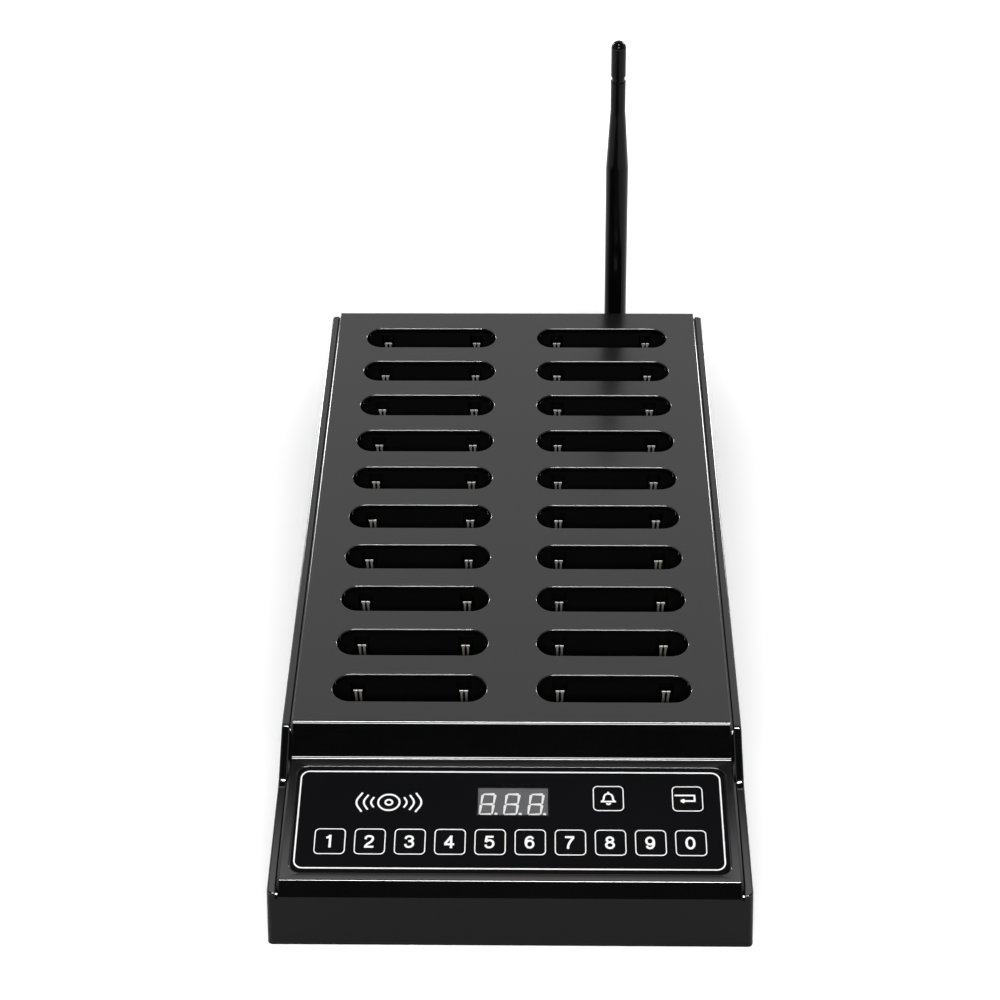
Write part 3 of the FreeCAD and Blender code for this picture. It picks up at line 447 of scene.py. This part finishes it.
# middle lines of the numerals, in millimetres about the key's centre; a ring
# is a closed loop given by its centre and half sizes
numeralLines = {
    "1": [[(0.4, 3.2), (0.4, -3.2)], [(0.25, 2.75), (-0.4, 2.05), (-1.25, 1.75)]],
    "2": [[(-1.6, 1.15), (-1.2, 2.3), (0.05, 2.7), (1.35, 2.15), (1.5, 1.1), (0.75, -0.2),
           (-0.75, -1.4), (-1.55, -2.6)], [(-2.0, -2.7), (2.0, -2.7)]],
    "3": [[(-1.55, 1.35), (-1.1, 2.4), (0.1, 2.7), (1.3, 2.15), (1.3, 0.95), (0.3, 0.3),
           (-0.4, 0.25)],
          [(-0.4, 0.25), (0.55, 0.2), (1.5, -0.55), (1.45, -1.9), (0.2, -2.7), (-1.2, -2.35),
           (-1.65, -1.25)]],
    "4": [[(0.8, 3.2), (0.8, -3.2)], [(0.75, 2.8), (-1.75, -0.95)],
          [(-2.1, -1.25), (2.1, -1.25)]],
    "5": [[(-1.2, 2.7), (1.75, 2.7)], [(-1.1, 3.0), (-1.5, 0.0)],
          [(-1.5, 0.05), (-0.5, 0.8), (0.7, 0.75), (1.55, -0.2), (1.45, -1.75), (0.2, -2.7),
           (-1.15, -2.4), (-1.7, -1.4)]],
    "6": [[(1.5, 1.6), (0.9, 2.5), (-0.2, 2.65), (-1.2, 1.8), (-1.6, 0.2), (-1.5, -1.1)],
          ["ring", (0.05, -0.95), (1.52, 1.75)]],
    "7": [[(-2.0, 2.7), (1.95, 2.7)], [(1.7, 2.6), (0.35, 0.6), (-0.55, -1.4), (-0.8, -3.2)]],
    "8": [["ring", (0.0, 1.5), (1.32, 1.2)], ["ring", (0.0, -1.25), (1.6, 1.45)]],
    "9": [[(-1.5, -1.6), (-0.9, -2.5), (0.2, -2.65), (1.2, -1.8), (1.6, -0.2), (1.5, 1.1)],
          ["ring", (-0.05, 0.95), (1.52, 1.75)]],
    "0": [["ring", (0.0, 0.0), (1.62, 2.7)]],
}
# plain signs: a bell on the call key, a return arrow on the enter key, and a
# round pager with signal waves beside the display
signLines = {
    "call": [[(-2.7, -1.5), (-2.05, -0.5), (-1.85, 0.9), (-1.15, 2.1), (0.0, 2.5), (1.15, 2.1),
              (1.85, 0.9), (2.05, -0.5), (2.7, -1.5)], [(-3.3, -1.6), (3.3, -1.6)],
             [(0.0, 2.4), (0.0, 3.5)], [(-0.95, -2.5), (0.0, -3.05), (0.95, -2.5)]],
    "enter": [[(-5.5, 1.8), (3.4, 1.8)], [(3.05, 1.8), (3.05, -1.1)],
              [(3.4, -1.1), (-1.6, -1.1)], [(-2.9, -1.1), (-1.45, -0.25)],
              [(-2.9, -1.1), (-1.45, -1.95)], [(-1.6, -0.25), (-1.6, -1.95)]],
    "pager": [["ring", (0.0, 0.0), (4.6, 4.1)], ["ring", (0.0, 0.0), (1.5, 1.35)],
              [(6.5, -2.7), (7.7, 0.0), (6.5, 2.7)], [(9.0, -3.9), (10.8, 0.0), (9.0, 3.9)],
              [(11.6, -5.0), (14.0, 0.0), (11.6, 5.0)],
              [(-6.5, -2.7), (-7.7, 0.0), (-6.5, 2.7)],
              [(-9.0, -3.9), (-10.8, 0.0), (-9.0, 3.9)],
              [(-11.6, -5.0), (-14.0, 0.0), (-11.6, 5.0)]],
}


ringPoints = 8


def strokeShape(lines, stroke):
    # lines of even width, printed flat: tubes along smooth curves, pressed thin
    curve = bpy.data.curves.new("stroke", "CURVE")
    curve.dimensions = "3D"
    curve.resolution_u = 6
    curve.bevel_depth = stroke / 2
    curve.bevel_resolution = 2
    curve.use_fill_caps = True
    for line in lines:
        closed = line[0] == "ring"
        if closed:
            (x, y), (wide, high) = line[1], line[2]
            turns = [math.tau * k / ringPoints for k in range(ringPoints)]
            line = [(x + wide * math.cos(t), y + high * math.sin(t)) for t in turns]
        spline = curve.splines.new("BEZIER")
        spline.bezier_points.add(len(line) - 1)
        for point, (x, y) in zip(spline.bezier_points, line):
            point.co = (x, y, 0)
            point.handle_left_type = point.handle_right_type = "AUTO"
        spline.use_cyclic_u = closed
    holder = bpy.data.objects.new("stroke", curve)
    scene.collection.objects.link(holder)
    bpy.context.view_layer.update()
    flat = bpy.data.meshes.new_from_object(
        holder.evaluated_get(bpy.context.evaluated_depsgraph_get()))
    shape = bmesh.new()
    shape.from_mesh(flat)
    bpy.data.objects.remove(holder)
    bpy.data.curves.remove(curve)
    bpy.data.meshes.remove(flat)
    bmesh.ops.remove_doubles(shape, verts=shape.verts, dist=1e-4)
    return shape


def printedSign(name, lines, stroke, x, s, body):
    shape = strokeShape(lines, stroke)
    thin = 2 * panelPrint["proud"] / stroke
    bmesh.ops.scale(shape, verts=shape.verts, vec=(mm, mm, thin * mm))
    bmesh.ops.translate(shape, verts=shape.verts, vec=(x * mm, s * mm, panelPrint["top"] * mm))
    bmesh.ops.recalc_face_normals(shape, faces=shape.faces)
    smoothFaces(shape, 60)
    shape.transform(panelPlace)
    piece = makePiece(name, shape, body, screenInk)


def raisedPrint(shape):
    # a flat print drawn at z = 0 becomes a thin closed film on the overlay
    low = panelPrint["top"] - panelPrint["sunk"]
    thickness = panelPrint["sunk"] + panelPrint["proud"]
    bmesh.ops.translate(shape, verts=shape.verts, vec=(0, 0, low * mm))
    made = bmesh.ops.extrude_face_region(shape, geom=shape.faces[:])
    upper = [v for v in made["geom"] if isinstance(v, bmesh.types.BMVert)]
    bmesh.ops.translate(shape, verts=upper, vec=(0, 0, thickness * mm))
    bmesh.ops.recalc_face_normals(shape, faces=shape.faces)
    shape.transform(panelPlace)
    return shape


def roundedFrame(x, s, width, height, radius, line):
    # a rounded rectangle drawn as a line of even width
    shape = bmesh.new()
    bmesh.ops.create_grid(shape, x_segments=1, y_segments=1, size=0.5)
    bmesh.ops.scale(shape, vec=(width * mm, height * mm, 1), verts=shape.verts)
    bmesh.ops.translate(shape, vec=(x * mm, s * mm, 0), verts=shape.verts)
    bmesh.ops.bevel(shape, geom=shape.verts[:], offset=radius * mm, offset_type="OFFSET",
                    affect="VERTICES", segments=8, profile=0.5, material=-1)
    middle = shape.faces[:]
    bmesh.ops.inset_region(shape, faces=middle, thickness=line * mm, use_boundary=True,
                           use_even_offset=True)
    bmesh.ops.delete(shape, geom=middle, context="FACES")
    return raisedPrint(shape)


def keyPlace(name):
    # the middle of a key, across and up the panel; the row reads 1 to 9 and then 0
    look = panelPrint
    column = signColumns[name] if name in signColumns else (int(name) + 9) % 10
    row = look["upperS"] if name in signColumns else look["rowS"]
    return (column - look["middleColumn"]) * look["keyPitch"], row


def panelBorder():
    look = panelPrint
    middle = (look["borderLow"] + look["borderHigh"]) / 2
    height = look["borderHigh"] - look["borderLow"]
    shape = roundedFrame(look["printShift"], middle, look["borderWidth"], height,
                         look["borderRadius"], look["borderLine"])
    piece = makePiece("panelBorder", shape, caseBody, screenInk)
    printedSign("pagerSign", signLines["pager"], look["signStroke"], look["signX"],
                look["signS"], caseBody)


def printedKey(name):
    look = panelPrint
    body = "key_" + name + "_body"
    softenedCopy("key_" + name, "keyPad_" + name, body, overlayFilm, 0.12)
    x, s = keyPlace(name)
    x += 0 if name.isdigit() else look["signShift"]
    shape = roundedFrame(x, s, look["keyWidth"], look["keyHeight"], look["keyRadius"],
                         look["keyLine"])
    piece = makePiece("keyOutline_" + name, shape, body, screenInk)
    if name.isdigit():
        printedSign("numeral_" + name, numeralLines[name], look["numeralStroke"],
                    x + look["printShift"], s, body)
    else:
        printedSign("sign_" + name, signLines[name], look["signStroke"], x, s, body)


panelBorder()
for key in keyNames:
    printedKey(key)
print("keypad print made")


digits = {
    "face": -1.35, "sunk": 0.02, "middleX": 0.41, "pitch": 10.44, "low": 34.2, "high": 45.85,
    "width": 6.5, "stroke": 1.12, "gap": 0.16, "slant": 7.1, "thickness": 0.06,
    "pointRadius": 0.72, "pointX": 3.75, "pointS": 34.95}


def segmentBar(shape, x, s, length, upright):
    # a bar with pointed ends: a hexagon pulled apart along its length
    stroke = digits["stroke"]
    made = bmesh.ops.create_circle(shape, cap_ends=True, segments=6, radius=0.5)
    verts = made["verts"]
    bmesh.ops.scale(shape, vec=(stroke * mm, stroke * mm / math.cos(math.radians(30)), 1),
                    verts=verts)
    half = (length - stroke) / 2 - digits["gap"]
    for v in verts:
        v.co.x += math.copysign(half * mm, v.co.x)
    if upright:
        bmesh.ops.rotate(shape, verts=verts, matrix=Matrix.Rotation(math.radians(90), 3, "Z"))
    bmesh.ops.translate(shape, verts=verts, vec=(x * mm, s * mm, 0))


def displayDigits():
    look = digits
    shape = bmesh.new()
    half = (look["width"] - look["stroke"]) / 2
    middle = (look["low"] + look["high"]) / 2
    rise = (look["high"] - look["low"] - look["stroke"]) / 2
    for place in (-1, 0, 1):
        x = place * look["pitch"]
        for level in (-1, 0, 1):
            segmentBar(shape, x, level * rise, 2 * half, False)
        for side in (-1, 1):
            for level in (-0.5, 0.5):
                segmentBar(shape, x + side * half, level * rise, rise, True)
    for v in shape.verts:
        v.co.x += v.co.y * math.tan(math.radians(look["slant"]))
    bmesh.ops.translate(shape, verts=shape.verts, vec=(look["middleX"] * mm, middle * mm, 0))
    for place in (-1, 0, 1):
        x = look["middleX"] + place * look["pitch"] + look["pointX"]
        made = bmesh.ops.create_circle(shape, cap_ends=True, segments=20,
                                       radius=look["pointRadius"] * mm)
        bmesh.ops.translate(shape, verts=made["verts"],
                            vec=(x * mm, look["pointS"] * mm, 0))
    low = look["face"] - look["sunk"]
    bmesh.ops.translate(shape, verts=shape.verts, vec=(0, 0, low * mm))
    made = bmesh.ops.extrude_face_region(shape, geom=shape.faces[:])
    upper = [v for v in made["geom"] if isinstance(v, bmesh.types.BMVert)]
    bmesh.ops.translate(shape, verts=upper, vec=(0, 0, look["thickness"] * mm))
    bmesh.ops.recalc_face_normals(shape, faces=shape.faces)
    shape.transform(panelPlace)
    piece = makePiece("displaySegments", shape, caseBody, digitLens)


displayDigits()
print("display made")


studio = {
    "floorSize": 6.0, "floorColour": "#efefef", "ambient": 0.38,
    # the floor's own light, from near the object outwards, and where it rises
    "floorNear": 0.36, "floorFar": 1.0, "riseStart": 0.22, "riseEnd": 0.5,
    "keyPlace": (0, -1.95, 1.45), "keySize": (1.2, 0.5), "keyWatts": 54.0,
    "stripPlace": (0, -0.52, 2.4), "stripSize": (0.8, 0.2), "stripWatts": 56.0,
    "sidePlace": (0.95, 1.26, 0.64), "sideSize": (0.16, 0.6), "sideWatts": 15.0,
    # brightness that gloss sees from the rear horizon over the top to the front: a
    # white wall, a dark gap, a narrow panel and then a dark ceiling
    "wall": [(0.0, 1.0), (0.305, 1.05), (0.319, 0.05), (0.351, 0.05), (0.358, 1.75),
             (0.375, 1.75), (0.4, 0.02), (1.0, 0.01)],
    # and to either side, by how far the ray leans across
    "sideFrom": 0.45, "sideTo": 0.8, "sideLevel": 0.6}


def shownToEye(tree):
    # one for rays that see the background: straight, mirrored or through glass
    seen = addNode(tree, "ShaderNodeLightPath")
    direct = addNode(tree, "ShaderNodeMath", {"operation": "MAXIMUM"}, {
        0: seen.outputs["Is Camera Ray"], 1: seen.outputs["Is Glossy Ray"]})
    shown = addNode(tree, "ShaderNodeMath", {"operation": "MAXIMUM"}, {
        0: direct.outputs[0], 1: seen.outputs["Is Transmission Ray"]})
    return seen, shown.outputs[0]


def paleFloor():
    material, tree = newMaterial("paintedStudioFloor")
    shown = shownToEye(tree)[1]
    plain = addNode(tree, "ShaderNodeBsdfDiffuse", inputs={"Color": srgb(studio["floorColour"])})
    away = addNode(tree, "ShaderNodeVectorMath", {"operation": "LENGTH"}, {
        0: addNode(tree, "ShaderNodeTexCoord").outputs["Object"]})
    rise = addNode(tree, "ShaderNodeMapRange", inputs={     # metres from the middle
        "Value": away.outputs["Value"], "From Min": studio["riseStart"],
        "From Max": studio["riseEnd"],
        "To Min": studio["floorNear"], "To Max": studio["floorFar"]})
    lift = addNode(tree, "ShaderNodeEmission", inputs={
        "Color": (1, 1, 1, 1), "Strength": rise.outputs["Result"]})
    both = addNode(tree, "ShaderNodeAddShader", inputs={0: plain.outputs[0],
                                                        1: lift.outputs[0]})
    mixed = addNode(tree, "ShaderNodeMixShader", inputs={
        0: shown, 1: plain.outputs[0], 2: both.outputs[0]})
    finishSurface(tree, mixed.outputs[0])
    shape = bmesh.new()
    bmesh.ops.create_grid(shape, x_segments=1, y_segments=1, size=studio["floorSize"] / 2)
    mesh = bpy.data.meshes.new("studioFloor")
    shape.to_mesh(mesh)
    shape.free()
    mesh.materials.append(material)
    floor = bpy.data.objects.new("studioFloor", mesh)
    scene.collection.objects.link(floor)


def softbox(name, place, aim, size, watts, onlyGloss=False):
    light = bpy.data.lights.new(name, "AREA")
    light.shape = "RECTANGLE"
    light.size, light.size_y = size
    light.energy = watts
    lamp = bpy.data.objects.new(name, light)
    lamp.location = place
    lamp.rotation_euler = (Vector(aim) - Vector(place)).to_track_quat("-Z", "Y").to_euler()
    lamp.visible_diffuse = not onlyGloss
    scene.collection.objects.link(lamp)


def studioWorld():
    # even light on the object; gloss sees a white rear wall and sides and a dark
    # ceiling and front, and the eye sees white all round
    world = bpy.data.worlds.new("studioWorld")
    scene.world = world
    world.use_nodes = True
    tree = world.node_tree
    tree.nodes.clear()
    seen, shown = shownToEye(tree)
    heading = addNode(tree, "ShaderNodeSeparateXYZ", inputs={
        "Vector": addNode(tree, "ShaderNodeTexCoord").outputs["Generated"]})
    angle = addNode(tree, "ShaderNodeMath", {"operation": "ARCTAN2"}, {
        0: heading.outputs["Z"], 1: heading.outputs["Y"]})
    share = addNode(tree, "ShaderNodeMath", {"operation": "DIVIDE"}, {
        0: angle.outputs[0], 1: math.pi})
    wall = addNode(tree, "ShaderNodeValToRGB", inputs={"Fac": share.outputs[0]})
    stops = wall.color_ramp.elements
    while len(stops) < len(studio["wall"]):
        stops.new(0.5)
    for stop, (position, level) in zip(stops, studio["wall"]):
        stop.position = position
        stop.color = (level, level, level, 1)
    across = addNode(tree, "ShaderNodeMath", {"operation": "ABSOLUTE"}, {
        0: heading.outputs["X"]})
    sides = addNode(tree, "ShaderNodeMapRange", inputs={
        "Value": across.outputs[0], "From Min": studio["sideFrom"],
        "From Max": studio["sideTo"], "To Max": studio["sideLevel"]})
    gloss = addNode(tree, "ShaderNodeMath", {"operation": "MAXIMUM"}, {
        0: wall.outputs["Color"], 1: sides.outputs["Result"]})
    level = addNode(tree, "ShaderNodeMath", {"operation": "MAXIMUM"}, {
        0: gloss.outputs[0], 1: seen.outputs["Is Camera Ray"]})
    ambient = addNode(tree, "ShaderNodeBackground", inputs={
        "Color": (1, 1, 1, 1), "Strength": studio["ambient"]})
    white = addNode(tree, "ShaderNodeBackground", inputs={
        "Color": (1, 1, 1, 1), "Strength": level.outputs[0]})
    mixed = addNode(tree, "ShaderNodeMixShader", inputs={
        0: shown, 1: ambient.outputs[0], 2: white.outputs[0]})
    addNode(tree, "ShaderNodeOutputWorld", inputs={"Surface": mixed.outputs[0]})


paleFloor()
studioWorld()
# strips that add no light but the bright lines they draw along rounded edges
softbox("rimStrip", studio["stripPlace"], (0, 0, 0), studio["stripSize"],
        studio["stripWatts"], onlyGloss=True)
softbox("keySoftbox", studio["keyPlace"], (0, 0, 0), studio["keySize"], studio["keyWatts"])
for side in (-1, 1):
    x, y, z = studio["sidePlace"]
    softbox("sideStrip", (side * x, y, z), (0, 0, 0.05), studio["sideSize"],
            studio["sideWatts"], onlyGloss=True)

view = {"place": (0.01013, -0.82904, 0.72348), "turn": (52.2131, 0.4313, 0.819),
        "lens": 79.2, "sensor": 36.0}
camera = bpy.data.cameras.new("productCamera")
camera.lens = view["lens"]
camera.sensor_width = view["sensor"]
cameraObject = bpy.data.objects.new("productCamera", camera)
cameraObject.location = view["place"]
cameraObject.rotation_euler = [math.radians(a) for a in view["turn"]]
scene.collection.objects.link(cameraObject)
scene.camera = cameraObject
scene.view_settings.view_transform = "Standard"
print("studio made")
